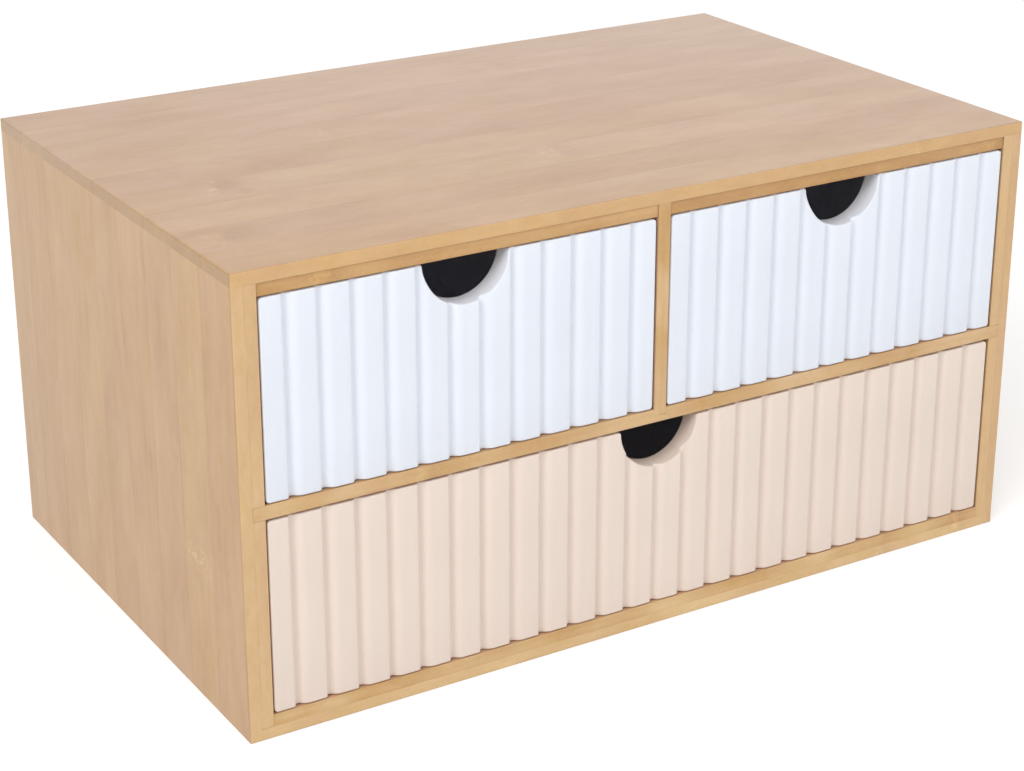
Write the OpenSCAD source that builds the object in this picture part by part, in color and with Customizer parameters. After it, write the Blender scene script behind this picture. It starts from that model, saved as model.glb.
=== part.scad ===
// Desktop mini drawers: a bamboo case with two small drawers above one wide
// drawer. Each drawer has a fluted, painted front with a half-round finger notch.
// Millimetres. The origin is the middle of the case's footprint, +Z is up,
// X runs along the width and the fronts face -Y.

/* [Case] */
// Overall width of the case
case_w = 350; // [300:1:420]
// Overall depth of the case
case_d = 218.8; // [160:0.1:300]
// Overall height of the case
case_h = 178.5; // [160:0.5:240]
// Thickness of the side and bottom boards, each made of two bonded layers
board_t = 9.5; // [8:0.5:14]
// Thickness of the top board
top_t = 5; // [4:0.5:10]
// Radius of the eased outer edges
edge_r = 0.8; // [0.4:0.1:2.5]

/* [Inside the case] */
// Thickness of the middle shelf
shelf_t = 5.4; // [4:0.1:8]
// Height of the wide drawer's bay, from the bottom board to the shelf
lower_bay_h = 77; // [60:0.5:90]
// Thickness of the divider between the small drawers
divider_t = 5.4; // [4:0.1:8]
// Depth to which the shelf houses the divider
divider_housing = 2.7; // [1:0.1:3]
// Height of the rails under the top board
rail_h = 5; // [3:0.5:9]
// Depth of the rails, front to back
rail_d = 22; // [10:1:40]
// Distance of the rails behind the front of the case
rail_setback = 0.5; // [0:0.1:6]
// Thickness of the back panel
back_t = 4; // [3:0.5:6]

/* [Drawers] */
// Gap between a drawer and the boards on each side of it
side_gap = 0.7; // [0.4:0.1:1.5]
// Gap under a drawer, on which it slides
slide_gap = 0.3; // [0.2:0.1:0.5]
// Gap above a small drawer's front
top_gap = 0.7; // [0.4:0.1:2]
// Gap above the wide drawer's front
wide_top_gap = 1.1; // [0.4:0.1:2]
// Gap between a closed drawer and the back panel
rear_gap = 0.5; // [0.3:0.1:3]
// Distance of a closed front's ribs behind the front of the case
front_inset = 0.1; // [0:0.1:2]
// Thickness of a drawer's sides
side_t = 8; // [7:0.5:12]
// Distance of a drawer's sides and back below the top of its front
side_drop = 13.5; // [0:0.5:25]
// Thickness of a drawer's back
drawer_back_t = 8; // [6:0.5:12]
// Thickness of a drawer's bottom panel
bottom_t = 3; // [2:0.5:5]
// Height of the bottom panel above the drawer's lower edge
bottom_rise = 5; // [3:0.5:12]
// Depth of the grooves that hold the bottom panel
groove_d = 3; // [2:0.5:4]
// Play of the bottom panel in its grooves, on each side
groove_play = 0.1; // [0.05:0.05:0.2]

/* [Fluted fronts] */
// Thickness of a drawer front over its ribs
front_t = 9; // [8.5:0.5:14]
// Distance from one flute to the next
flute_pitch = 12.85; // [9:0.05:20]
// From a flute's deepest line to the rib on its left
flute_left = 2.3; // [1.8:0.1:3.6]
// From a flute's deepest line to the rib on its right
flute_right = 4.7; // [2.5:0.1:5]
// Part of a flute's left side that its rib's round shoulder takes
left_shoulder = 0.5; // [0.3:0.05:0.7]
// The same of its right side
right_shoulder = 0.75; // [0.3:0.05:0.8]
// Depth of a flute
flute_d = 1.75; // [1:0.05:1.8]
// Least distance from a front's end to the middle of its first flute
flute_end = 8; // [6:0.5:12]
// How far the wide front's flutes lie to the left of even spacing
wide_shift = 0.9; // [0:0.1:1.5]
// Radius of the upright corners at a front's two ends
front_corner_r = 0.8; // [0.4:0.1:2]
// Radius of a front's four corners, seen from the front
front_round_r = 1.4; // [0.4:0.1:3]
// Radius of the half-round finger notch
notch_r = 17.4; // [10:0.1:22]

/* [Dowels and nails] */
// Diameter of the dowels that hold a front to its sides
dowel_dia = 4; // [3:0.5:5]
// Length of the dowels
dowel_l = 14; // [10:1:24]
// Depth of a dowel in the front
dowel_in_front = 4.5; // [3:0.5:5]
// Dowels in each side of a drawer
dowels_per_side = 2; // [2:1:3]
// Diameter of the nails and their shanks
nail_dia = 1.4; // [1:0.1:2]
// Diameter of a nail's flat head
nail_head_dia = 3; // [2.4:0.1:4]
// Thickness of a nail's head, sunk flush
nail_head_t = 0.6; // [0.4:0.1:1]
// Length of the nails that hold the back panel
panel_nail_l = 16; // [12:1:25]
// Length of the nails that hold a drawer's sides to its back
drawer_nail_l = 22; // [16:1:30]
// Radial play of the dowels and nails in their holes
hole_play = 0.05; // [0.02:0.01:0.1]

/* [Hidden] */
$fn = 64;
eps = 0.01;                           // overshoot of the cuts
layer_t = board_t / 2;                // one of a board's two layers
inner_w = case_w - 2 * board_t;       // clear width between the side boards
side_top = case_h - top_t;            // where the side boards meet the top board
front_y = -case_d / 2;                // front plane of the case
rear_y = case_d / 2;                  // rear plane of the case
panel_y = rear_y - back_t;            // inner face of the back panel
shelf_z = board_t + lower_bay_h;      // underside of the shelf
upper_bay_z = shelf_z + shelf_t;      // floor of the upper bays
upper_bay_h = side_top - rail_h - upper_bay_z;
half_bay_w = (inner_w - divider_t) / 2;
housing_z = upper_bay_z - divider_housing;

// A drawer is [middle in X, lower edge, width, height], from the bay it fills
// and the gap above its front
function drawer_in(x, z, w, h, gap) =
    [x, z + slide_gap, w - 2 * side_gap, h - slide_gap - gap];
half_bay_x = (divider_t + half_bay_w) / 2;
LEFT = drawer_in(-half_bay_x, upper_bay_z, half_bay_w, upper_bay_h, top_gap);
RIGHT = drawer_in(half_bay_x, upper_bay_z, half_bay_w, upper_bay_h, top_gap);
WIDE = drawer_in(0, board_t, inner_w, lower_bay_h, wide_top_gap);

drawer_y = front_y + front_inset;     // ribs of a closed front
box_y = drawer_y + front_t;           // back face of a front
drawer_end = panel_y - rear_gap;      // rear end of a closed drawer
function side_h(d) = d[3] - side_drop; // height of a drawer's sides and back

bamboo = "#d9b37c";
bamboo_dark = "#c79456";
white_paint = "#eef2f8";
blush_paint = "#eddacd";
white_board = "#eceff4";
beech = "#dcc39a";
steel = "#b8bcc2";

// ---- helpers ----

// n values spread evenly from a to b, ends included
function spread(a, b, n) = [for (i = [0 : n - 1]) a + (b - a) * i / max(1, n - 1)];

// A block from one corner to the opposite one
module block(low, high) {
    translate(low) cube(high - low);
}

// A rectangle centred on the origin with four round corners
module eased_rectangle(w, h, r) {
    difference() {
        square([w, h], center = true);
        for (sx = [-1, 1], sy = [-1, 1])
            translate([sx * (w / 2 - r), sy * (h / 2 - r)])
                difference() {
                    translate([sx > 0 ? 0 : -r - eps, sy > 0 ? 0 : -r - eps])
                        square(r + eps);
                    circle(r);
                }
    }
}

// The outer shape of the closed case, with every outer edge eased
module case_envelope() {
    intersection() {
        linear_extrude(case_h) eased_rectangle(case_w, case_d, edge_r);
        translate([0, 0, case_h / 2]) rotate([90, 0, 0])
            linear_extrude(case_d, center = true) eased_rectangle(case_w, case_h, edge_r);
        translate([0, 0, case_h / 2]) rotate([90, 0, 90])
            linear_extrude(case_w, center = true) eased_rectangle(case_d, case_h, edge_r);
    }
}

// A straight pin or hole along Y, from y0 to y1
module rod_y(x, z, y0, y1, dia) {
    translate([x, y0, z]) rotate([-90, 0, 0]) cylinder(h = y1 - y0, d = dia);
}

// A straight pin or hole along X, from x0 to x1
module rod_x(y, z, x0, x1, dia) {
    translate([x0, y, z]) rotate([0, 90, 0]) cylinder(h = x1 - x0, d = dia);
}

// ---- case ----

side_layer_x = case_w / 2 - layer_t;  // between a side board's two layers
inner_x = case_w / 2 - board_t;       // inner face of a side board

// Nails of the back panel as [x, z]: in both sides, the bottom, the shelf and
// the divider
panel_nail_inset = 22;
panel_nails = concat(
    [for (sx = [-1, 1], z = spread(panel_nail_inset, case_h - panel_nail_inset, 4))
        [sx * (side_layer_x - layer_t / 2), z]],
    [for (x = spread(-inner_w / 3, inner_w / 3, 3)) [x, board_t - layer_t / 2]],
    [for (sx = [-1, 1]) [sx * inner_w / 3, shelf_z + shelf_t / 2]],
    [[0, upper_bay_z + upper_bay_h / 2]]
);

module panel_nail_holes() {
    for (n = panel_nails) {
        rod_y(n[0], n[1], rear_y - panel_nail_l - hole_play, rear_y + eps,
              nail_dia + 2 * hole_play);
        rod_y(n[0], n[1], rear_y - nail_head_t, rear_y + eps,
              nail_head_dia + 2 * hole_play);
    }
}

module top_board() {
    color(bamboo) intersection() {
        case_envelope();
        block([-case_w / 2, front_y, side_top], [case_w / 2, rear_y, case_h]);
    }
}

// The lower layer reaches under the inner layers of the sides, and the upper
// layer stops at the back panel
module bottom_board() {
    color(bamboo) difference() {
        intersection() {
            case_envelope();
            union() {
                block([-side_layer_x, front_y, 0], [side_layer_x, rear_y, layer_t]);
                block([-inner_x, front_y, layer_t - eps], [inner_x, panel_y, board_t]);
            }
        }
        panel_nail_holes();
    }
}

// side is -1 for the left board and 1 for the right board. The outer layer
// reaches the floor; the inner layer stands on the bottom board, carries the
// shelf in a housing and stops at the back panel
module side_board(side) {
    color(bamboo) difference() {
        intersection() {
            case_envelope();
            mirror([side < 0 ? 1 : 0, 0, 0]) union() {
                block([side_layer_x, front_y, 0], [case_w / 2, rear_y, side_top]);
                block([inner_x, front_y, layer_t], [side_layer_x + eps, panel_y, side_top]);
            }
        }
        mirror([side < 0 ? 1 : 0, 0, 0])
            block([inner_x - eps, front_y - eps, shelf_z],
                  [side_layer_x, panel_y + eps, upper_bay_z]);
        panel_nail_holes();
    }
}

module middle_shelf() {
    color(bamboo) difference() {
        block([-side_layer_x, front_y, shelf_z], [side_layer_x, panel_y, upper_bay_z]);
        block([-divider_t / 2, front_y - eps, housing_z],
              [divider_t / 2, panel_y + eps, upper_bay_z + eps]);
        panel_nail_holes();
    }
}

module centre_divider() {
    color(bamboo) difference() {
        block([-divider_t / 2, front_y, housing_z], [divider_t / 2, panel_y, side_top]);
        panel_nail_holes();
    }
}

// side is -1 for the left rail and 1 for the right rail
module top_rail(side) {
    color(bamboo_dark) mirror([side < 0 ? 1 : 0, 0, 0])
        block([divider_t / 2, front_y + rail_setback, side_top - rail_h],
              [inner_x, front_y + rail_setback + rail_d, side_top]);
}

module back_panel() {
    color(bamboo) difference() {
        block([-side_layer_x, panel_y, layer_t], [side_layer_x, rear_y, side_top]);
        panel_nail_holes();
    }
}

module back_panel_nails() {
    color(steel) for (n = panel_nails) {
        rod_y(n[0], n[1], rear_y - panel_nail_l, rear_y, nail_dia);
        rod_y(n[0], n[1], rear_y - nail_head_t, rear_y, nail_head_dia);
    }
}

// ---- drawers ----

// Either side of a flute is two arcs that meet at one slope: one rounds the rib's
// shoulder and takes share of the side's reach, the other rounds the bottom
arc_steps = 5;

function flute_count(w) = floor((w - 2 * flute_end) / flute_pitch) + 1;

// Points of one side, from its rib's flat to the flute's deepest line at x = 0
function flute_side(reach, share) = let (
        both_r = (pow(reach, 2) + pow(flute_d, 2)) / (2 * flute_d),
        outer_r = both_r * share,
        inner_r = both_r * (1 - share),
        slope = 2 * atan(flute_d / reach))
    concat(
        [for (i = [0 : arc_steps]) let (a = slope * i / arc_steps)
            [reach - outer_r * sin(a), outer_r * (1 - cos(a))]],
        [for (i = [arc_steps - 1 : -1 : 0]) let (a = slope * i / arc_steps)
            [inner_r * sin(a), flute_d - inner_r * (1 - cos(a))]]);

// Points of a whole flute, from left to right
right_side = flute_side(flute_right, right_shoulder);
flute = concat([for (p = flute_side(flute_left, left_shoulder)) [-p[0], p[1]]],
               [for (i = [len(right_side) - 2 : -1 : 0]) right_side[i]]);

// Points of a rounded upright corner, at the left end (-1) or the right end (1)
function corner(w, end) = [for (i = [0 : arc_steps]) let (a = 90 * i / arc_steps)
    end < 0 ? [-w / 2 + front_corner_r * (1 - cos(a)), front_corner_r * (1 - sin(a))]
            : [w / 2 - front_corner_r * (1 - sin(a)), front_corner_r * (1 - cos(a))]];

// A front seen from above, ribs at y = 0 and back face at y = front_t; its flutes
// are moved to the left by shift
module fluted_outline(w, shift) {
    n = flute_count(w);
    polygon(concat(
        corner(w, -1),
        [for (i = [0 : n - 1], p = flute) [p[0] + (i - (n - 1) / 2) * flute_pitch - shift, p[1]]],
        corner(w, 1),
        [[w / 2, front_t], [-w / 2, front_t]]
    ));
}

// Slot for the bottom panel of drawer d, in all four of its walls
module bottom_slot(d) {
    edge = side_t - groove_d;
    block([d[0] - d[2] / 2 + edge, box_y - groove_d, d[1] + bottom_rise - groove_play],
          [d[0] + d[2] / 2 - edge, drawer_end - drawer_back_t + groove_d,
           d[1] + bottom_rise + bottom_t + groove_play]);
}

// Dowels of drawer d, or their holes when play is more than 0
module dowel_set(d, play) {
    inset = dowel_dia * 1.5;
    low = bottom_rise + bottom_t + inset;
    for (sx = [-1, 1], z = spread(low, side_h(d) - inset, dowels_per_side))
        rod_y(d[0] + sx * (d[2] - side_t) / 2, d[1] + z,
              box_y - dowel_in_front - play, box_y - dowel_in_front + dowel_l + play,
              dowel_dia + 2 * play);
}

// Nails of drawer d, from each side into the back, or their holes when play is
// more than 0
module nail_set(d, play) {
    for (sx = [0, 1], z = spread(side_h(d) / 4, side_h(d) * 3 / 4, 2))
        translate([d[0], 0, 0]) mirror([sx, 0, 0]) {
            rod_x(drawer_end - drawer_back_t / 2, d[1] + z,
                  d[2] / 2 - drawer_nail_l - play, d[2] / 2, nail_dia + 2 * play);
            rod_x(drawer_end - drawer_back_t / 2, d[1] + z,
                  d[2] / 2 - nail_head_t, d[2] / 2 + (play > 0 ? eps : 0),
                  nail_head_dia + 2 * play);
        }
}

// The outline of front d seen from the front, carried through its thickness
module front_elevation(d) {
    translate([d[0], box_y + eps, d[1] + d[3] / 2]) rotate([90, 0, 0])
        linear_extrude(front_t + 2 * eps) eased_rectangle(d[2], d[3], front_round_r);
}

module drawer_front(d, paint, shift) {
    color(paint) difference() {
        intersection() {
            translate([d[0], drawer_y, d[1]]) linear_extrude(d[3]) fluted_outline(d[2], shift);
            front_elevation(d);
        }
        rod_y(d[0], d[1] + d[3], drawer_y - eps, box_y + eps, 2 * notch_r);
        bottom_slot(d);
        dowel_set(d, hole_play);
    }
}

// side is -1 for the left side and 1 for the right side
module drawer_side(d, side) {
    x0 = side < 0 ? d[0] - d[2] / 2 : d[0] + d[2] / 2 - side_t;
    color(white_board) difference() {
        block([x0, box_y, d[1]], [x0 + side_t, drawer_end, d[1] + side_h(d)]);
        bottom_slot(d);
        dowel_set(d, hole_play);
        nail_set(d, hole_play);
    }
}

module drawer_back(d) {
    inside = d[2] / 2 - side_t;
    color(white_board) difference() {
        block([d[0] - inside, drawer_end - drawer_back_t, d[1]],
              [d[0] + inside, drawer_end, d[1] + side_h(d)]);
        bottom_slot(d);
        nail_set(d, hole_play);
    }
}

// The panel lies in the slot with its play all round
module drawer_bottom(d) {
    reach = d[2] / 2 - side_t + groove_d - groove_play;
    color(white_board)
        block([d[0] - reach, box_y - groove_d + groove_play, d[1] + bottom_rise],
              [d[0] + reach, drawer_end - drawer_back_t + groove_d - groove_play,
               d[1] + bottom_rise + bottom_t]);
}

module drawer_dowels(d) {
    color(beech) dowel_set(d, 0);
}

module drawer_nails(d) {
    color(steel) nail_set(d, 0);
}

// ---- nodes ----

top_board();
bottom_board();
side_board(-1);  // left_side_board
side_board(1);  // right_side_board
middle_shelf();
centre_divider();
top_rail(-1);  // left_top_rail
top_rail(1);  // right_top_rail
back_panel();
back_panel_nails();

drawer_front(LEFT, white_paint, 0);  // left_drawer_front
drawer_side(LEFT, -1);  // left_drawer_left_side
drawer_side(LEFT, 1);  // left_drawer_right_side
drawer_back(LEFT);  // left_drawer_back
drawer_bottom(LEFT);  // left_drawer_bottom
drawer_dowels(LEFT);  // left_drawer_dowels
drawer_nails(LEFT);  // left_drawer_nails

drawer_front(RIGHT, white_paint, 0);  // right_drawer_front
drawer_side(RIGHT, -1);  // right_drawer_left_side
drawer_side(RIGHT, 1);  // right_drawer_right_side
drawer_back(RIGHT);  // right_drawer_back
drawer_bottom(RIGHT);  // right_drawer_bottom
drawer_dowels(RIGHT);  // right_drawer_dowels
drawer_nails(RIGHT);  // right_drawer_nails

drawer_front(WIDE, blush_paint, wide_shift);  // wide_drawer_front
drawer_side(WIDE, -1);  // wide_drawer_left_side
drawer_side(WIDE, 1);  // wide_drawer_right_side
drawer_back(WIDE);  // wide_drawer_back
drawer_bottom(WIDE);  // wide_drawer_bottom
drawer_dowels(WIDE);  // wide_drawer_dowels
drawer_nails(WIDE);  // wide_drawer_nails
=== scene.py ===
# %% [markdown]
# # Desktop mini drawers
# A bamboo case holds two small white drawers above one wide blush drawer. The
# solids come from the CAD model, which says where everything is and how it
# moves. Here each of them gets its finish, and the fluted fronts are made again
# with the smooth curves that paint over a routed board has.

# %% Load the model
import math

import bmesh
import bpy
import numpy as np
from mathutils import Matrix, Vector


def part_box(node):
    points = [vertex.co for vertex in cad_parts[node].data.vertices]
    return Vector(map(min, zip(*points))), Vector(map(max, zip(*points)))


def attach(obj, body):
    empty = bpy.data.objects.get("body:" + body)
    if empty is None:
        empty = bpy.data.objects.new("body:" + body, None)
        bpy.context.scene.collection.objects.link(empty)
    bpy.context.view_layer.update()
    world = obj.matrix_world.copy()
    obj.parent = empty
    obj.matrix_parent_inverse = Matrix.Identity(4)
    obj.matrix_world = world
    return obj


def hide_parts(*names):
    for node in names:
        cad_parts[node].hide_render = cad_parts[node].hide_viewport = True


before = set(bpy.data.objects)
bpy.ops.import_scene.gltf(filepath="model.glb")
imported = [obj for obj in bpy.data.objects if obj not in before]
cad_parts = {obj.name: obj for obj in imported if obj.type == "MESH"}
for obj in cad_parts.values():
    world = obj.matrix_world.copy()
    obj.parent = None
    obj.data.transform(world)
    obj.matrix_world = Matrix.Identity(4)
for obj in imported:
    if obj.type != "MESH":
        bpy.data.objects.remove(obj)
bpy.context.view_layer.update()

mm = 0.001

# %% [markdown]
# ## The camera
# Seen from far off through a long lens, a box keeps its edges nearly parallel. The
# camera stands in front of the left corner and looks down at the top. It could
# track an empty object in the middle of the case, but a spot and two angles are
# easier to read and to change, and they need nothing else in the scene.

# %% Set up the camera
camera_spot = Vector((-472.7, -777.3, 439.4)) * mm
camera_turn = math.radians(-31.35)  # to the left of the front
camera_tilt = math.radians(21.0)    # down from level
camera_lens = 82.2
camera_rise = -0.06                 # lens shift, as a share of the width


def add(name, data):
    """Puts data, such as a mesh or a lamp, into the scene as an object."""
    made = bpy.data.objects.new(name, data)
    bpy.context.collection.objects.link(made)
    return made


camera = add("camera", bpy.data.cameras.new("camera"))
bpy.context.scene.camera = camera
camera.data.lens = camera_lens
camera.data.shift_y = camera_rise
camera.location = camera_spot
camera_back = Vector((
    math.sin(camera_turn) * math.cos(camera_tilt),
    -math.cos(camera_turn) * math.cos(camera_tilt),
    math.sin(camera_tilt),
))
camera.rotation_mode = "QUATERNION"
camera.rotation_quaternion = (-camera_back).to_track_quat("-Z", "Y")
print("camera at", [round(v, 3) for v in camera.location])

# %% [markdown]
# ## Small helpers for materials
# A material is a graph of nodes. Written out in full, each node takes several
# lines, so a few helpers keep the graphs short: one fills a node's inputs, one
# adds a node, one does arithmetic, one mixes two colours, and one carries a
# number from one range to another.


# %% Helpers that add nodes
def fill(tree, made, inputs):
    """Fills the inputs of a node. inputs is {socket name or number: a number, a
    colour or another node's output}."""
    for key, value in inputs.items():
        if isinstance(value, bpy.types.NodeSocket):
            tree.links.new(value, made.inputs[key])
        else:
            made.inputs[key].default_value = value


def node(tree, kind, inputs=None, out=0, **settings):
    """Adds a shader node, fills its inputs and returns one of its outputs."""
    made = tree.nodes.new("ShaderNode" + kind)
    for key, value in settings.items():
        setattr(made, key, value)
    fill(tree, made, inputs or {})
    return made.outputs[out]


def calc(tree, what, *values):
    """One step of arithmetic on numbers or outputs."""
    return node(tree, "Math", dict(enumerate(values)), operation=what)


def mixed(tree, share, first, second):
    """The colour that is share of second and the rest of first."""
    sockets = {0: share, 6: first, 7: second}
    return node(tree, "Mix", sockets, out=2, data_type="RGBA")


def ramp(tree, value, low, high, to_low=0.0, to_high=1.0):
    """value carried smoothly from low..high to to_low..to_high, and held there."""
    sockets = {0: value, 1: low, 2: high, 3: to_low, 4: to_high}
    return node(tree, "MapRange", sockets, interpolation_type="SMOOTHSTEP")


print("helpers: fill, node, calc, mixed, ramp")

# %% [markdown]
# ## Node groups
# An effect that several finishes share is a node group: it is built once, has
# named inputs, and each material places it with its own values. A group's
# sockets are declared on its interface.


# %% Helpers that make and place a group
def new_group(name, inputs, outputs):
    """A shader node group. inputs is {name: (kind, value)}, outputs is {name:
    kind}. Returns the group, what comes in and what goes out."""
    group = bpy.data.node_groups.new(name, "ShaderNodeTree")
    for label, (kind, value) in inputs.items():
        socket = group.interface.new_socket(
            name=label, in_out="INPUT", socket_type="NodeSocket" + kind)
        if value is not None:
            socket.default_value = value
    for label, kind in outputs.items():
        group.interface.new_socket(
            name=label, in_out="OUTPUT", socket_type="NodeSocket" + kind)
    comes_in = group.nodes.new("NodeGroupInput").outputs
    goes_out = group.nodes.new("NodeGroupOutput").inputs
    return group, comes_in, goes_out


def place_group(tree, group, inputs):
    """Places a group in a material and returns its outputs."""
    made = tree.nodes.new("ShaderNodeGroup")
    made.node_tree = group
    fill(tree, made, inputs)
    return made.outputs


print("helpers: new_group, place_group")

# %% [markdown]
# ## Bamboo board
# Bamboo board is pressed from strips about 24 mm wide. Each strip has its own
# shade, fibres and streaks run along it, and a thin dark line shows here and
# there where two strips meet. All of it is worked out in the space of the board:
# along the grain, across the strips, and through the thickness. A picture laid on
# each face would break off at the edges. A pattern that fills the space runs on
# over them, as it does in real board, and can be as fine as the closest view asks.
# The layers of a thick board show only on its edges, as a fine line of glue.

# %% Group: bamboo_strips
bamboo_strips, comes, goes = new_group(
    "bamboo_strips",
    {
        "Point": ("Vector", None),
        "Colour": ("Color", (0.6, 0.4, 0.2, 1)),
        "Strip Width": ("Float", 24.5 * mm),
        "Layer": ("Float", 5 * mm),
        "Contrast": ("Float", 1.0),
        "Streaks": ("Float", 1.0),
        "Strip Swing": ("Float", 0.12),
        "Hue Swing": ("Float", 0.5),
        "On Edge": ("Float", 0.0),
        "Seed": ("Float", 0.0),
    },
    {"Colour": "Color", "Fibre": "Float", "Height": "Float"},
)
g = bamboo_strips
along, across, through = node(g, "SeparateXYZ", {0: comes["Point"]}).node.outputs
strip = calc(g, "DIVIDE", across, comes["Strip Width"])
strip_no = calc(g, "FLOOR", strip)
layer_no = calc(g, "FLOOR", calc(g, "DIVIDE", through, comes["Layer"]))

# Each strip of each layer has a shade, a hue, a streakiness and a start of its own
identity = node(g, "CombineXYZ", {0: strip_no, 1: layer_no, 2: comes["Seed"]})
shade = node(g, "TexWhiteNoise", {"Vector": identity}, noise_dimensions="3D")
kinds = node(g, "TexWhiteNoise", {"Vector": identity}, out=1, noise_dimensions="3D")
hue, streaky = node(g, "SeparateXYZ", {0: kinds}).node.outputs[1:]
farthest_start = 5.0  # in metres, so that no strip repeats its neighbour
started = calc(g, "MULTIPLY_ADD", shade, farthest_start, along)
grain_point = node(g, "CombineXYZ", {0: started, 1: across, 2: through})


def streaks(tree, point, length, width, detail):
    """Noise drawn out along the grain, about length long and width wide, as a
    number that swings both ways about 0."""
    scales = (1 / length, 1 / width, 1 / width)
    drawn = node(tree, "VectorMath", {0: point, 1: scales}, operation="MULTIPLY")
    swing = node(tree, "TexNoise", {"Vector": drawn, "Scale": 1.0, "Detail": detail})
    return calc(tree, "SUBTRACT", swing, 0.5)


fibre = streaks(g, grain_point, 30 * mm, 0.55 * mm, 3.0)
streak = streaks(g, grain_point, 70 * mm, 2.4 * mm, 2.0)
mottle = streaks(g, grain_point, 9 * mm, 4 * mm, 2.0)
cloud = streaks(g, grain_point, 50 * mm, 16 * mm, 1.0)
pith = streaks(g, grain_point, 2.0 * mm, 1.4 * mm, 2.0)
blush = streaks(g, grain_point, 26 * mm, 10 * mm, 2.0)
print("bamboo_strips, up to the noises:", len(g.nodes), "nodes")

# %% The seams and the glue of bamboo_strips
# A seam is near a strip's border, and shows only along some of its length
within = calc(g, "FRACT", strip)
to_border = calc(g, "MINIMUM", within, calc(g, "SUBTRACT", 1.0, within))
border_dist = calc(g, "MULTIPLY", to_border, comes["Strip Width"])
near_border = ramp(g, border_dist, 0.05 * mm, 0.65 * mm, 1.0, 0.0)
patchy = ramp(g, streaks(g, grain_point, 40 * mm, 400 * mm, 1.0), -0.14, 0.10, 0.2, 1.0)
seam = calc(g, "MULTIPLY", near_border, patchy)
seam = calc(g, "MULTIPLY", seam, calc(g, "MULTIPLY_ADD", streaky, 1.4, 0.3))

# The line of glue between the layers, seen on the edges of the board only
layer_dist = calc(g, "ABSOLUTE", calc(g, "SUBTRACT", through, comes["Layer"]))
near_layer = ramp(g, layer_dist, 0.05 * mm, 0.30 * mm, 1.0, 0.0)
broken = ramp(g, streaks(g, grain_point, 14 * mm, 6 * mm, 2.0), -0.12, 0.10)
glue = calc(g, "MULTIPLY", calc(g, "MULTIPLY", near_layer, broken), comes["On Edge"])
print("bamboo_strips, up to the glue:", len(g.nodes), "nodes")

# %% The lightness of bamboo_strips
# How much lighter or darker than its own colour a point is. The edges have few
# clouds, as one strip is cut across there for the whole length of the board
cloud_weight = 0.42
streak_weight = 0.22
fibre_weight = 0.04
mottle_weight = 0.20
pith_weight = 0.12
dark_line = -0.16  # both the seams and the glue

clouds = calc(g, "MULTIPLY", cloud, calc(g, "MULTIPLY_ADD", comes["On Edge"], -0.8, 1.0))
tone = calc(g, "MULTIPLY", calc(g, "SUBTRACT", shade, 0.5), comes["Strip Swing"])
tone = calc(g, "MULTIPLY_ADD", clouds, cloud_weight, tone)
tone = calc(g, "MULTIPLY_ADD", seam, dark_line, tone)
drawn_out = calc(g, "MULTIPLY", fibre, fibre_weight)
drawn_out = calc(g, "MULTIPLY_ADD", streak, streak_weight, drawn_out)
drawn_out = calc(g, "MULTIPLY", drawn_out, comes["Streaks"])
tone = calc(g, "MULTIPLY_ADD", drawn_out, calc(g, "MULTIPLY_ADD", streaky, 1.2, 0.1), tone)
tone = calc(g, "MULTIPLY_ADD", mottle, mottle_weight, tone)
tone = calc(g, "MULTIPLY_ADD", pith, pith_weight, tone)
tone = calc(g, "MULTIPLY", tone, comes["Contrast"])
tone = calc(g, "MULTIPLY_ADD", glue, dark_line, tone)
print("bamboo_strips, up to the lightness:", len(g.nodes), "nodes")

# %% The colour of bamboo_strips
# Darker bamboo is also warmer, so blue falls fastest and red slowest. Apart from
# that each strip leans to yellow green or to pink, and drifts a little on its way.
warmth = (0.66, 1.02, 1.6)
drift = (0.06, 0.10, -0.15)
lean = calc(g, "MULTIPLY_ADD", calc(g, "SUBTRACT", hue, 0.5), comes["Hue Swing"], blush)
channels = {}
for i in range(3):
    swung = calc(g, "MULTIPLY_ADD", lean, drift[i], 1.0)
    channels[i] = calc(g, "MULTIPLY_ADD", tone, warmth[i], swung)
gain = node(g, "CombineXYZ", channels)
toned = node(g, "VectorMath", {0: comes["Colour"], 1: gain}, operation="MULTIPLY")
g.links.new(toned, goes["Colour"])
g.links.new(fibre, goes["Fibre"])
seam_depth = 0.7  # beside the height of the fibres
g.links.new(calc(g, "MULTIPLY_ADD", seam, -seam_depth, fibre), goes["Height"])
print("bamboo_strips has", len(g.nodes), "nodes")

# %% [markdown]
# A bamboo stem has a ring every few hand widths, and each strip cut through one
# shows a knuckle: a band of short wavy flecks, lighter on one side of the ring
# and darker on the other. Each knuckle is given one by one, so it is a group of its
# own, with the place of its middle in board space.

# %% Group: knuckle
knuckle, comes, goes = new_group(
    "knuckle",
    {
        "Point": ("Vector", None),
        "Colour": ("Color", (0.6, 0.4, 0.2, 1)),
        "Along": ("Float", 0.0),
        "Across": ("Float", 0.0),
        "Width": ("Float", 22 * mm),
        "Length": ("Float", 12 * mm),
        "Strength": ("Float", 1.0),
        "Flecks": ("Float", 1.0),
    },
    {"Colour": "Color"},
)
g = knuckle
along, across = node(g, "SeparateXYZ", {0: comes["Point"]}).node.outputs[:2]
flecks = node(
    g, "TexNoise", {"Vector": comes["Point"], "Scale": 360.0, "Detail": 2.0, "Distortion": 1.2})
wander = node(g, "TexNoise", {"Vector": comes["Point"], "Scale": 90.0, "Detail": 2.0})
wandered = calc(g, "SUBTRACT", wander, 0.5)

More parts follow.
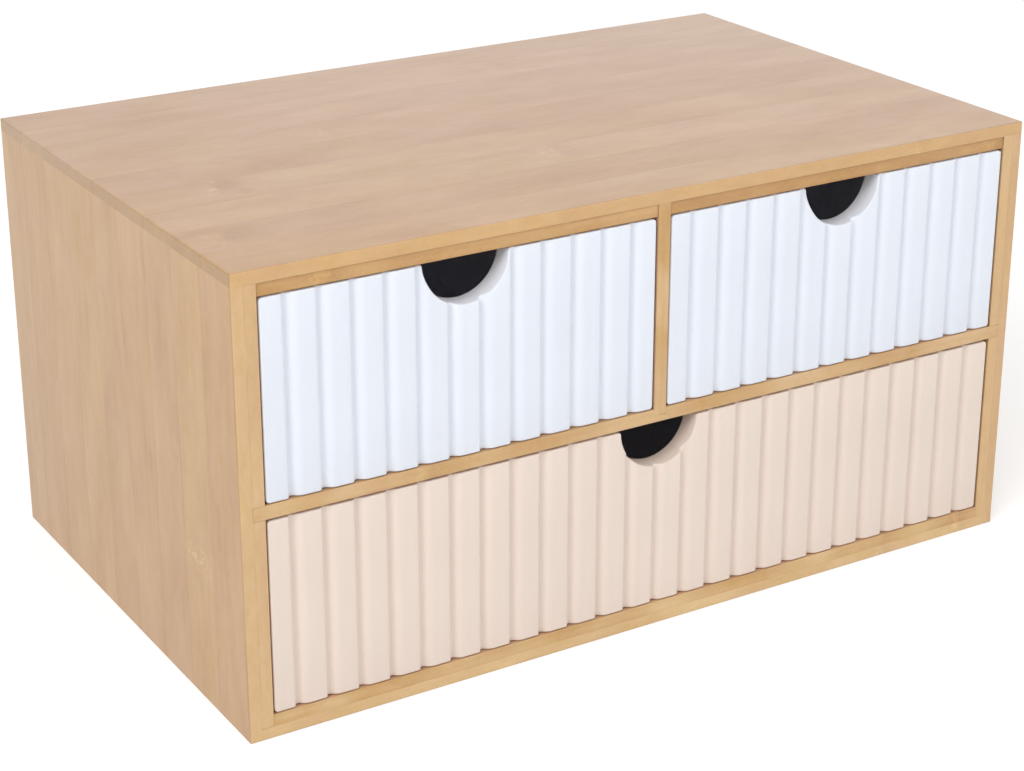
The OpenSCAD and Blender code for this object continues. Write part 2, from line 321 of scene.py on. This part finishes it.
# How far a point is along from the ring, in lengths, and aside from it, in widths
reach = calc(g, "DIVIDE", calc(g, "SUBTRACT", along, comes["Along"]), comes["Length"])
reach = calc(g, "MULTIPLY_ADD", wandered, 1.4, reach)
aside = calc(g, "ABSOLUTE", calc(g, "SUBTRACT", across, comes["Across"]))
aside = calc(g, "DIVIDE", aside, comes["Width"])
aside = calc(g, "MULTIPLY_ADD", wandered, 0.5, aside)
print("knuckle, up to its shape:", len(g.nodes), "nodes")

# %% The two sides of a knuckle
in_strip = ramp(g, aside, 0.15, 0.58, 1.0, 0.0)
dark_side = calc(g, "MULTIPLY", ramp(g, reach, -0.35, 0.15), ramp(g, reach, 0.1, 1.2, 1.0, 0.0))
light_side = calc(g, "MULTIPLY", ramp(g, reach, -0.8, -0.4), ramp(g, reach, -0.1, 0.3, 1.0, 0.0))
dark = calc(g, "MULTIPLY", dark_side, ramp(g, flecks, 0.30, 0.66, 0.55, 1.0))
light = calc(g, "MULTIPLY", light_side, ramp(g, flecks, 0.49, 0.60))
light = calc(g, "MULTIPLY", light, comes["Flecks"])
dark = calc(g, "MULTIPLY", dark, comes["Strength"])
lighter = 0.13
darker = -0.15
tone = calc(g, "MULTIPLY_ADD", light, lighter, calc(g, "MULTIPLY", dark, darker))
tone = calc(g, "MULTIPLY", tone, in_strip)
knuckle_warmth = (0.9, 1.15, 1.3)
channels = {i: calc(g, "MULTIPLY_ADD", tone, w, 1.0) for i, w in enumerate(knuckle_warmth)}
gain = node(g, "CombineXYZ", channels)
toned = node(g, "VectorMath", {0: comes["Colour"], 1: gain}, operation="MULTIPLY")
g.links.new(toned, goes["Colour"])
print("knuckle has", len(g.nodes), "nodes")

# %% [markdown]
# ## Bamboo materials
# The flat of the top board is paler than its edges, where the strips are cut across
# their thickness, and paler and lighter than the flat of the upright boards: partly
# the board's own tone, and partly painted sheen of the lacquer. The ends of the
# fibres are darker still. Which of the three a face is follows from its normal. The
# lacquer is satin, and the fibres are felt through it as a very small bump.

# %% Colours of bamboo, and a way to begin a material
flat_bamboo_with_sheen = (0.538, 0.330, 0.192, 1)    # the flat of the top and other level boards, partly painted sheen
side_bamboo = (0.494, 0.303, 0.150, 1)    # the flat of the other boards
end_bamboo = (0.405, 0.242, 0.112, 1)
edge_bamboo = (0.650, 0.421, 0.207, 1)    # front edges, which differ a little
top_edge = (0.633, 0.391, 0.186, 1)
bottom_edge = (0.700, 0.488, 0.252, 1)
shelf_edge = (0.692, 0.466, 0.256, 1)
divider_edge = (0.700, 0.475, 0.232, 1)
left_rail_bamboo = (0.565, 0.328, 0.132, 1)
# The right rail has the left rail's colour painted darker: painted shade, for the light that
# falls off towards the right of the case.
right_rail_shaded_bamboo = (0.525, 0.296, 0.117, 1)


def begin(name):
    """An empty material. Returns it, its tree and its output socket."""
    made = bpy.data.materials.new(name)
    made.use_nodes = True
    tree = made.node_tree
    tree.nodes.clear()
    return made, tree, tree.nodes.new("ShaderNodeOutputMaterial").inputs["Surface"]


print("function: begin")


# %% Function: bamboo
def bamboo(name, axes, start, face=flat_bamboo_with_sheen, edge=edge_bamboo, end=end_bamboo,
           strip=24.5 * mm, layer=5 * mm, contrast=1.0, streaks_seen=1.0,
           strip_swing=0.12, hue_swing=0.5, seed=0.0, marks=(), roughness=(0.40, 0.32)):
    """Bamboo board. axes says which of X, Y and Z run along the grain, across
    the strips and through the board, such as "XYZ"; start is where the board
    begins on those three; marks are knuckles, and a few painted shade marks drawn
    the same way, as (along, across, width, length, strength, flecks), the first
    four in mm; roughness is that of the hollows and of the fibres. seed picks
    which strips are light and which are dark."""
    made, tree, surface = begin(name)
    where = node(tree, "TexCoord", out="Object")
    xyz = node(tree, "SeparateXYZ", {0: where}).node.outputs
    # starting a hair early keeps the board's near faces off a border
    hair = 0.02 * mm
    parts = {i: calc(tree, "SUBTRACT", xyz[a], start[i] - hair) for i, a in enumerate(axes)}
    point = node(tree, "CombineXYZ", parts)

    normal = node(tree, "NewGeometry", out="Normal")
    facing = node(tree, "SeparateXYZ", {0: normal}).node.outputs
    on_face = ramp(tree, calc(tree, "ABSOLUTE", facing[axes[2]]), 0.5, 0.95)
    on_end = ramp(tree, calc(tree, "ABSOLUTE", facing[axes[0]]), 0.5, 0.95)
    on_edge = calc(tree, "SUBTRACT", 1.0, on_face)
    colour = mixed(tree, on_face, edge, face)
    colour = mixed(tree, on_end, colour, end)

    # a layer that is a little thicker keeps the far face off a border
    thicker = 1.01
    strips = place_group(tree, bamboo_strips, {
        "Point": point, "Colour": colour, "Strip Width": strip, "Layer": layer * thicker,
        "Contrast": contrast, "Streaks": streaks_seen, "Strip Swing": strip_swing,
        "Hue Swing": hue_swing, "On Edge": on_edge, "Seed": seed})
    colour = strips["Colour"]
    for mark_along, mark_across, width, length, strength, flecks in marks:
        colour = place_group(tree, knuckle, {
            "Point": point, "Colour": colour, "Strength": strength, "Flecks": flecks,
            "Along": mark_along * mm, "Across": mark_across * mm,
            "Width": width * mm, "Length": length * mm})["Colour"]

    fibre_depth = 0.06 * mm
    bump = node(tree, "Bump", {
        "Height": strips["Height"], "Distance": fibre_depth, "Strength": 0.5 * streaks_seen})
    shader = node(tree, "BsdfPrincipled", {
        "Base Color": colour, "Normal": bump,
        "Roughness": ramp(tree, strips["Fibre"], -0.2, 0.2, *roughness)})
    tree.links.new(shader, surface)
    return made


print("function: bamboo")

# %% Where each board lies
low, high = {}, {}
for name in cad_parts:
    low[name], high[name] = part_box(name)
top, left, right, bottom, shelf, divider, panel = (low[name] for name in (
    "top_board", "left_side_board", "right_side_board", "bottom_board", "middle_shelf",
    "centre_divider", "back_panel"))
print("the top board begins at, mm:", [round(v / mm, 1) for v in top])

# %% Bamboo of the top board
# A board is cut from a wider sheet, so its first strip is seldom whole. That is
# why the start across the strips is moved a little from the board's own edge
finish = {}
finish["top_board"] = bamboo(
    "bamboo_top", "XYZ", (top.x, top.y - 1.8 * mm, top.z), edge=top_edge, strip=24.6 * mm,
    streaks_seen=0.45, strip_swing=0.16, seed=563835.0, roughness=(0.32, 0.28),
    marks=[
        (37, 90, 20, 10, 1.3, 1.8),
        (43, 81, 9, 6, 0.9, 0.0),
        (168, 64, 22, 10, 0.5, 1.2),
        (17, 37, 20, 12, 1.2, 1.2),
        (212, 184, 24, 9, 0.5, 0.8),
        (104, 138, 30, 7, 0.4, 0.6),
        (298, 2, 9, 6, 0.6, 1.2),
    ])
print("bamboo materials:", len(finish))

# %% Bamboo of the two sides
half_board = 4.75 * mm  # the sides and the bottom are two layers of this
finish["left_side_board"] = bamboo(
    "bamboo_left_side", "ZYX", (left.z, left.y + 0.5 * mm, left.x), face=side_bamboo,
    layer=half_board, strip_swing=0.14, hue_swing=0.4, seed=1886766.0,
    marks=[
        (60, 38, 24, 10, 0.2, 2.0),
        (48, 37, 20, 16, 0.3, 0.0),
        # A long thin dark line along the bottom edge: painted contact shadow where the board
        # meets the floor, drawn with the knuckle group.
        (0.6, 110, 220, 1.2, 0.6, 0.0),
    ])
finish["right_side_board"] = bamboo(
    "bamboo_right_side", "ZYX", (right.z, right.y + 1.5 * mm, right.x), face=side_bamboo,
    layer=half_board, strip_swing=0.14, hue_swing=0.4, seed=17.0,
    marks=[(122, 110, 24, 10, 0.7, 1.0)])
print("bamboo materials:", len(finish))

# %% Bamboo of the bottom, the shelf and the divider
one_layer = 20 * mm  # more than the board's thickness, so no line of glue shows
finish["bottom_board"] = bamboo(
    "bamboo_bottom", "XYZ", tuple(bottom), edge=bottom_edge, layer=half_board,
    strip_swing=0.05, hue_swing=0.2, seed=171.0,
    marks=[
        (285, 2, 9, 6, 0.6, 1.0),
        (326, 2, 9, 5, 0.6, 1.0),
        (120, 90, 24, 10, 0.7, 1.0),
    ])
finish["middle_shelf"] = bamboo(
    "bamboo_shelf", "XYZ", tuple(shelf), edge=shelf_edge, layer=one_layer,
    strip_swing=0.06, hue_swing=0.3, seed=31.0, marks=[(69, 2, 12, 7, 0.9, 0.8)])
finish["centre_divider"] = bamboo(
    "bamboo_divider", "ZYX", (divider.z, divider.y, divider.x), edge=divider_edge,
    layer=one_layer, strip_swing=0.03, seed=37.0)
print("bamboo materials:", len(finish))

# %% Bamboo of the back and the rails
finish["back_panel"] = bamboo(
    "bamboo_back", "XZY", (panel.x, panel.z, panel.y), face=side_bamboo,
    strip_swing=0.14, hue_swing=0.4, seed=41.0,
    marks=[
        (90, 62, 24, 10, 0.7, 1.0),
        (240, 110, 24, 9, 0.6, 1.0),
    ])
for rail, colour, seed, mark_along in (
    ("left_top_rail", left_rail_bamboo, 43.0, 27),
    # The right rail's knuckle sits at its right end, beside the right side board: a knuckle with
    # its flecks, and painted shade in that corner.
    ("right_top_rail", right_rail_shaded_bamboo, 47.0, 158),
):
    start = low[rail]
    finish[rail] = bamboo(
        "bamboo_" + rail, "XZY", (start.x, start.z, start.y), face=colour, edge=colour,
        layer=2 * one_layer, contrast=1.4, strip_swing=0.03, seed=seed,
        marks=[(mark_along, 2.5, 6, 12, 0.8, 0.8)])
print("bamboo materials:", len(finish))

# %% [markdown]
# ## Paint
# The fronts are fibreboard under two coats of satin paint. Paint levels out, but
# never fully: it keeps a fine pebbling of less than a tenth of a millimetre, and
# faint upright marks from the roller that followed the flutes.

# %% Group: paint_coat
paint_coat, comes, goes = new_group(
    "paint_coat",
    {
        "Point": ("Vector", None),
        "Colour": ("Color", (0.8, 0.8, 0.8, 1)),
        "Variation": ("Float", 1.0),
    },
    {"Colour": "Color", "Roughness": "Float", "Height": "Float"},
)
g = paint_coat
pebble = node(g, "TexNoise", {"Vector": comes["Point"], "Scale": 900.0, "Detail": 2.0})
drawn = node(
    g, "VectorMath", {0: comes["Point"], 1: (420.0, 420.0, 14.0)}, operation="MULTIPLY")
roller = node(g, "TexNoise", {"Vector": drawn, "Scale": 1.0, "Detail": 2.0})
patch = node(g, "TexNoise", {"Vector": comes["Point"], "Scale": 30.0, "Detail": 1.0})
roller_weight = 0.03
patch_weight = 0.04
tone = calc(g, "MULTIPLY", calc(g, "SUBTRACT", roller, 0.5), roller_weight)
tone = calc(g, "MULTIPLY_ADD", calc(g, "SUBTRACT", patch, 0.5), patch_weight, tone)
tone = calc(g, "MULTIPLY", tone, comes["Variation"])
gain = calc(g, "ADD", 1.0, tone)
toned = node(g, "VectorMath", {0: comes["Colour"], "Scale": gain}, operation="SCALE")
g.links.new(toned, goes["Colour"])
g.links.new(ramp(g, patch, 0.3, 0.7, 0.40, 0.47), goes["Roughness"])
g.links.new(calc(g, "MULTIPLY_ADD", roller, 0.5, pebble), goes["Height"])
print("paint_coat has", len(g.nodes), "nodes")


# %% Function: paint
def paint(name, colour, variation=1.0, distance=0.035 * mm, roughness=None,
          haze=(0, 0, 0, 1)):
    """Paint of one colour, satin unless a plain roughness is given. haze is a
    trace of light added to its blacks."""
    made, tree, surface = begin(name)
    point = node(tree, "TexCoord", out="Object")
    coat = place_group(tree, paint_coat, {
        "Point": point, "Colour": colour, "Variation": variation})
    bump = node(tree, "Bump", {"Height": coat["Height"], "Distance": distance})
    if roughness is None:
        roughness = coat["Roughness"]
    shader = node(tree, "BsdfPrincipled", {
        "Base Color": coat["Colour"], "Roughness": roughness, "Normal": bump,
        "Emission Color": haze, "Emission Strength": 1.0})
    tree.links.new(shader, surface)
    return made


white_paint = paint("white_paint", (0.80, 0.835, 0.905, 1))
blush_paint = paint("blush_paint", (0.80, 0.68, 0.595, 1))
print("paints:", white_paint.name, blush_paint.name)

# %% [markdown]
# ## Inside the drawers
# The drawer boxes are thin board under one coat of the same white, rolled on and
# left matt. Hardly any light gets through a notch, so a closed white box still
# looks nearly black there. A lens scatters a little light over such a black. A
# trace of bluish emission, too weak to see on an open drawer, stands for it.
# The nails are bright wire, and the dowels are plain beech, whose fine grain the
# bamboo's own pattern gives well enough.

# %% Materials: white board, wire and beech
white_board = paint(
    "white_board", (0.88, 0.90, 0.955, 1), variation=1.5, distance=0.05 * mm, roughness=0.6,
    haze=(0.0040, 0.0045, 0.0058, 1))

wire, tree, surface = begin("bright_wire")
point = node(tree, "TexCoord", out="Object")
drawn = node(tree, "VectorMath", {0: point, 1: (3000.0, 200.0, 3000.0)}, operation="MULTIPLY")
scratch = node(tree, "TexNoise", {"Vector": drawn, "Scale": 1.0, "Detail": 2.0})
shader = node(tree, "BsdfPrincipled", {
    "Base Color": mixed(tree, scratch, (0.42, 0.43, 0.45, 1), (0.62, 0.63, 0.65, 1)),
    "Metallic": 1.0, "Roughness": ramp(tree, scratch, 0.3, 0.7, 0.28, 0.42)})
tree.links.new(shader, surface)

beech_colour = (0.58, 0.42, 0.25, 1)
whole = 60 * mm  # strips and layers so large that no dowel shows a border
beech = bamboo(
    "beech", "YXZ", (0.0, 0.0, 0.0), face=beech_colour, edge=beech_colour,
    strip=whole, layer=whole, contrast=0.8, seed=5.0)
print("materials:", white_board.name, wire.name, beech.name)

# %% [markdown]
# ## Boards with eased edges
# A CAD board has perfectly sharp edges, and no real board does: sanding rounds
# them by a few tenths of a millimetre, which catches the light and draws a fine
# line where two boards meet. A shader can fake that, but only real faces are still
# there when the model is exported, so the Bevel modifier makes them. It needs a
# clean mesh, so the board's loose triangles are first merged in a copy, and only
# its long sharp edges get a bevel weight, so that small holes are left alone.

# %% Function: eased
same_place = 0.001 * mm
same_plane = math.radians(0.5)
sharp_angle = math.radians(50)
long_edge = 4 * mm
smooth_angle = math.radians(30)


def eased(name, material, radius):
    """A copy of a CAD board, with its long sharp edges rounded to radius."""
    made = bmesh.new()
    made.from_mesh(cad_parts[name].data)
    bmesh.ops.remove_doubles(made, verts=made.verts, dist=same_place)
    bmesh.ops.dissolve_limit(
        made, angle_limit=same_plane, verts=made.verts, edges=made.edges)
    weight = made.edges.layers.float.new("bevel_weight_edge")
    for edge in made.edges:
        sharp = edge.is_manifold and edge.calc_face_angle() > sharp_angle
        edge[weight] = float(sharp and edge.calc_length() > long_edge)
    mesh = bpy.data.meshes.new(name + "_eased")
    made.to_mesh(mesh)
    made.free()
    mesh.materials.append(material)
    mesh.shade_smooth()
    mesh.set_sharp_from_angle(angle=smooth_angle)
    piece = add(name + "_eased", mesh)
    bevel = piece.modifiers.new("eased", "BEVEL")
    bevel.width = radius
    bevel.segments = 2
    bevel.limit_method = "WEIGHT"
    bevel.use_clamp_overlap = False
    bevel.harden_normals = True
    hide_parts(name)
    return piece


print("function: eased")

# %% Ease the boards of the case
case_easing = 0.15 * mm
for name, material in finish.items():
    board = eased(name, material, case_easing)
    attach(board, "case")
print("boards of the case eased:", len(finish))

# %% Ease the boards of the drawers
box_easing = 0.4 * mm
for drawer in ("left_drawer", "right_drawer", "wide_drawer"):
    for part in ("left_side", "right_side", "back", "bottom"):
        board = eased(f"{drawer}_{part}", white_board, box_easing)
        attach(board, drawer)
    print(drawer, "boards eased")

# %% The nails and dowels keep their CAD meshes
for name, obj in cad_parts.items():
    if name.endswith("_nails") or name.endswith("_dowels"):
        obj.data.materials.clear()
        obj.data.materials.append(wire if name.endswith("_nails") else beech)
print("nails and dowels:", sum("nails" in n or "dowels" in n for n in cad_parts))

# %% [markdown]
# ## The fluted fronts
# A shaped cutter makes the flutes. A flute falls steeply from the rib on its left
# and climbs slowly to the rib on its right, so each rib ends in a crisp line of
# shade. Either side is two arcs that run into each other: one rounds the rib's
# shoulder, the other the flute's bottom. On the right the shoulder has more of it.
# Cutting the flutes from a block with a Boolean would leave thin, uneven faces that
# shade badly. Seen from above, though, the front is a depth that depends only on
# the place along it, so the panel is that profile as columns of points, and the
# notch only changes how high each column goes.

# %% Sizes of the flutes, the same as the model's
flute_pitch = 12.85 * mm
flute_left = 2.3 * mm       # from a flute's deepest line to the rib on its left
flute_right = 4.7 * mm      # and to the rib on its right
left_shoulder = 0.5         # how much of either side belongs to the rib's shoulder
right_shoulder = 0.75
flute_depth = 1.75 * mm
flute_end = 8 * mm          # least distance from the end to the first flute
wide_shift = -0.9 * mm      # the wide front's flutes lie a little to the left
corner_radius = 0.8 * mm    # upright corners at the two ends
round_radius = 1.4 * mm     # the four corners, seen from the front
notch_radius = 17.4 * mm
notch_corner = 0.9 * mm     # round corners where the notch meets the top
paint_round = 0.6 * mm      # all edges of the painted panel


def arc_radii(reach, share):
    """Radii of the two arcs of a flute's side that is reach wide: the shoulder's,
    which covers share of it, and the bottom's, which covers the rest."""
    both = (reach ** 2 + flute_depth ** 2) / (2 * flute_depth)
    return both * share, both * (1 - share)


for reach, share in ((flute_left, left_shoulder), (flute_right, right_shoulder)):
    print("reach, mm:", round(reach / mm, 2),
          "arcs, mm:", [round(radius / mm, 3) for radius in arc_radii(reach, share)],
          "slope, degrees:", round(math.degrees(2 * math.atan(flute_depth / reach)), 1))


# %% Function: how deep the face lies at each place along the front
def flute_middles(width, shift):
    """Places of the flutes' deepest lines, spread evenly about the front's middle
    and moved along by shift."""
    count = int((width - 2 * flute_end) / flute_pitch) + 1
    return (np.arange(count) - (count - 1) / 2) * flute_pitch + shift


def face_depth(x, width, shift):
    """Depth of the face behind its ribs at x. Beside a flute's middle it is the
    two arcs of that side, near the ends the corner's arc, and elsewhere 0."""
    offsets = x[:, None] - flute_middles(width, shift)[None, :]
    nearest = offsets[np.arange(len(x)), np.abs(offsets).argmin(axis=1)]
    away = np.abs(nearest)
    reach = np.where(nearest < 0, flute_left, flute_right)
    share = np.where(nearest < 0, left_shoulder, right_shoulder)
    outer, inner = arc_radii(reach, share)
    from_rib = np.clip(reach - away, 0, reach * share)
    shoulder = outer - np.sqrt(outer ** 2 - from_rib ** 2)
    from_bottom = np.clip(away, 0, reach * (1 - share))
    hollow = flute_depth - inner + np.sqrt(inner ** 2 - from_bottom ** 2)
    depth = np.where(away < reach * (1 - share), hollow, shoulder)
    into_corner = np.clip(np.abs(x) - width / 2 + corner_radius, 0, corner_radius)
    return depth + corner_radius - np.sqrt(corner_radius ** 2 - into_corner ** 2)


small_width = high["left_drawer_front"].x - low["left_drawer_front"].x
print("flutes on a small front:", len(flute_middles(small_width, 0)))


# %% Function: where the columns of points stand
def side_places(reach, share, steps):
    """Distances from a flute's middle at which its two arcs are divided evenly."""
    turn = np.linspace(0, 2 * math.atan(flute_depth / reach), steps)
    outer, inner = arc_radii(reach, share)
    return np.concatenate([inner * np.sin(turn), reach - outer * np.sin(turn)])


def column_places(width, shift, steps=8, notch_steps=64):
    """Places along the front at which the arcs of the flutes, of the end corners
    and of the notch are all divided evenly by angle."""
    arcs = np.concatenate([-side_places(flute_left, left_shoulder, steps),
                           side_places(flute_right, right_shoulder, steps)])
    flutes = flute_middles(width, shift)[:, None] + arcs[None, :]
    quarter = np.linspace(0, math.pi / 2, steps)
    ends = np.concatenate(
        [width / 2 - radius * (1 - np.sin(quarter)) for radius in (corner_radius, round_radius)])
    corners = notch_radius + notch_corner - (notch_corner - paint_round) * np.sin(quarter)
    notch = (notch_radius + paint_round) * np.cos(np.linspace(0, math.pi, notch_steps))
    places = np.concatenate([flutes.ravel(), ends, -ends, corners, -corners, notch])
    return np.unique(np.round(places, 7))


print("columns of points on it:", len(column_places(small_width, 0)))


# %% Functions: the panel's outline, seen from the front
def corner_drop(places, width):
    """How far the outline stands in from the top and from the bottom at each
    place: 0, and near the two ends the arc of round_radius."""
    into = np.clip(np.abs(places) - width / 2 + round_radius, 0, round_radius)
    return round_radius - np.sqrt(round_radius ** 2 - into ** 2)


def top_rim(places, top):
    """For each column, the point of the top outline and the outline's outward
    direction. The outline follows top, turns down round a small corner, and
    follows the notch's circle about the middle of the top edge."""
    aside = np.abs(places)
    side = np.sign(places)
    height = top.max()
    x, z = places.copy(), top.copy()
    out_x, out_z = np.zeros_like(places), np.ones_like(places)

    middle = notch_radius + notch_corner
    small = notch_corner - paint_round
    corner = (aside < middle) & (aside >= middle - small)
    sine = np.clip((middle - aside) / small, 0, 1)
    cosine = np.sqrt(1 - sine ** 2)
    x = np.where(corner, side * (middle - notch_corner * sine), x)
    z = np.where(corner, height - notch_corner + notch_corner * cosine, z)
    out_x = np.where(corner, -side * sine, out_x)
    out_z = np.where(corner, cosine, out_z)

    notch = aside < middle - small
    cosine = np.clip(places / (notch_radius + paint_round), -1, 1)
    sine = np.sqrt(1 - cosine ** 2)
    x = np.where(notch, notch_radius * cosine, x)
    z = np.where(notch, np.minimum(height - notch_radius * sine, height - notch_corner), z)
    out_x = np.where(notch, -cosine, out_x)
    out_z = np.where(notch, sine, out_z)
    return x, z, out_x, out_z


print("functions: corner_drop, top_rim")


# %% Function: the whole panel
def fluted_panel(width, height, thickness, shift, rows=4, round_steps=4):
    """Points of the panel as a grid of columns by steps round each column. A
    column goes up the face, over the top, down the back and under the bottom,
    with a quarter circle of paint_round at each of the four edges."""
    places = column_places(width, shift)
    face = face_depth(places, width, shift)
    foot = corner_drop(places, width)
    x, z, out_x, out_z = top_rim(places, height - foot)
    r = paint_round
    in_z = z - r * out_z
    quarter = np.linspace(0, math.pi / 2, round_steps)[1:-1]
    flat = np.zeros_like(places)

    def up(share, depth):
        return np.stack([places, depth, foot + r + (in_z - foot - r) * share], axis=1)

    def over(reach, depth):
        return np.stack([places + out_x * reach, depth, in_z + out_z * reach], axis=1)

    def under(reach, depth):
        return np.stack([places, depth, foot + r - reach], axis=1)

    loop = [up(s, face) for s in np.linspace(0, 1, rows)]
    loop += [over(r * math.sin(a), face + r * (1 - math.cos(a))) for a in quarter]
    loop += [over(r, face + r), over(r, flat + thickness - r)]
    loop += [over(r * math.cos(a), flat + thickness - r * (1 - math.sin(a))) for a in quarter]
    loop += [up(s, flat + thickness) for s in np.linspace(1, 0, rows)]
    loop += [under(r * math.sin(a), flat + thickness - r * (1 - math.cos(a))) for a in quarter]
    loop += [under(r, flat + thickness - r), under(r, face + r)]
    loop += [under(r * math.cos(a), face + r * (1 - math.sin(a))) for a in quarter]
    return np.stack(loop, axis=1)


print("function: fluted_panel")


# %% Function: a mesh from a closed grid
def grid_mesh(name, points):
    """A mesh from points[column, step]: each column is a closed loop, neighbours
    are joined by quads, and the first and last loop are filled."""
    columns, steps = points.shape[:2]
    index = np.arange(columns * steps).reshape(columns, steps)
    here, after = index[:-1], index[1:]
    quads = np.stack(
        [here, after, np.roll(after, -1, axis=1), np.roll(here, -1, axis=1)], axis=-1)
    faces = quads.reshape(-1, 4).tolist() + [index[0].tolist(), index[-1][::-1].tolist()]
    mesh = bpy.data.meshes.new(name)
    mesh.from_pydata(points.reshape(-1, 3).tolist(), [], faces)
    mesh.validate()
    return mesh


print("function: grid_mesh")


# %% Function: a front in the place of its CAD node
cm3 = (10 * mm) ** 3
sharp_paint = math.radians(40)


def fluted_front(drawer, material, shift):
    """A drawer's front, in the place of its CAD node."""
    name = drawer + "_front"
    size = high[name] - low[name]
    points = fluted_panel(size.x, size.z, size.y, shift)
    middle = (low[name].x + high[name].x) / 2
    points = points + np.array([middle, low[name].y, low[name].z])
    mesh = grid_mesh(name + "_painted", points)
    check = bmesh.new()
    check.from_mesh(mesh)
    # a volume above 0 says that the faces point outwards
    volume = check.calc_volume(signed=True)
    print(name, "columns:", len(points), "volume, cm3:", round(volume / cm3, 1))
    check.free()
    mesh.materials.append(material)
    mesh.shade_smooth()
    mesh.set_sharp_from_angle(angle=sharp_paint)
    piece = add(name + "_painted", mesh)
    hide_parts(name)
    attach(piece, drawer)


print("function: fluted_front")

# %% Make the three fronts
fluted_front("left_drawer", white_paint, shift=0)
fluted_front("right_drawer", white_paint, shift=0)
fluted_front("wide_drawer", blush_paint, shift=wide_shift)

# %% [markdown]
# ## Studio
# The object stands on a white floor in front of a white backdrop, under large
# soft lights, so that nothing is in deep shade. The floor is lit like any
# surface, which gives it the object's soft shadow, and adds a little light of
# its own only where the camera or a reflection looks at it, so that it meets
# the backdrop without an edge. The two front lamps are kept out of reflections,
# since from behind the lacquered top would mirror one of them as a white glare.


# %% The floor
def seen_directly(tree):
    """1 where the camera, a mirror or glass looks, and 0 for light that bounces."""
    rays = node(tree, "LightPath", out="Is Camera Ray").node.outputs
    seen = calc(tree, "MAXIMUM", rays["Is Camera Ray"], rays["Is Glossy Ray"])
    return calc(tree, "MAXIMUM", seen, rays["Is Transmission Ray"])


floor_material, tree, surface = begin("studio_floor")
matt = node(tree, "BsdfDiffuse", {"Color": (0.78, 0.78, 0.78, 1)})
floor_glow = 0.42
glow = node(tree, "Emission", {
    "Color": (1, 1, 1, 1),
    "Strength": calc(tree, "MULTIPLY", seen_directly(tree), floor_glow)})
tree.links.new(node(tree, "AddShader", {0: matt, 1: glow}), surface)

floor_half = 6.0
floor_level = -0.05 * mm  # a hair below the case, so that the two never share a plane
floor_corners = np.array([(-1, -1), (1, -1), (1, 1), (-1, 1)]) * floor_half
floor_mesh = bpy.data.meshes.new("studio_floor")
floor_mesh.from_pydata(
    [(x, y, floor_level) for x, y in floor_corners], [], [(0, 1, 2, 3)])
floor_mesh.materials.append(floor_material)
floor = add("studio_floor", floor_mesh)
print("floor, m:", 2 * floor_half)

# %% The world: plain light all round, and white where it is looked at
world = bpy.data.worlds.new("studio_world")
bpy.context.scene.world = world
world.use_nodes = True
world.node_tree.nodes.clear()
tree = world.node_tree
ambient = 0.45
strength = ramp(tree, seen_directly(tree), 0.0, 1.0, ambient, 1.0)
sky = node(tree, "Background", {"Color": (1, 1, 1, 1), "Strength": strength})
tree.links.new(sky, tree.nodes.new("ShaderNodeOutputWorld").inputs["Surface"])
print("ambient:", ambient)


# %% Soft lights
def softbox(name, turn, rise, size, power, mirrored, distance=2.2):
    """A square area light that faces the object. turn is its angle from the front,
    to the right, and rise its angle above level, both in degrees. mirrored says
    whether glossy surfaces reflect it."""
    lamp = bpy.data.lights.new(name, "AREA")
    lamp.shape = "SQUARE"
    lamp.size = size
    lamp.energy = power
    middle = Vector((0.0, 0.0, 0.09))
    turn, rise = math.radians(turn), math.radians(rise)
    away = Vector((math.sin(turn) * math.cos(rise),
                   -math.cos(turn) * math.cos(rise), math.sin(rise)))
    made = add(name, lamp)
    made.location = middle + distance * away
    made.rotation_mode = "QUATERNION"
    made.rotation_quaternion = away.to_track_quat("Z", "Y")
    made.visible_glossy = mirrored


softbox("key_left", -60, 35, size=1.3, power=29.0, mirrored=False)
softbox("fill_right", 45, 25, size=1.4, power=15.5, mirrored=False)
softbox("back_left", -150, 25, size=1.4, power=6.0, mirrored=True)
softbox("back_right", 140, 28, size=1.6, power=1.6, mirrored=True)

# %% [markdown]
# ## Finish
# Colours are shown as they are, with no film look.

# %% Colour
bpy.context.scene.view_settings.view_transform = "Standard"
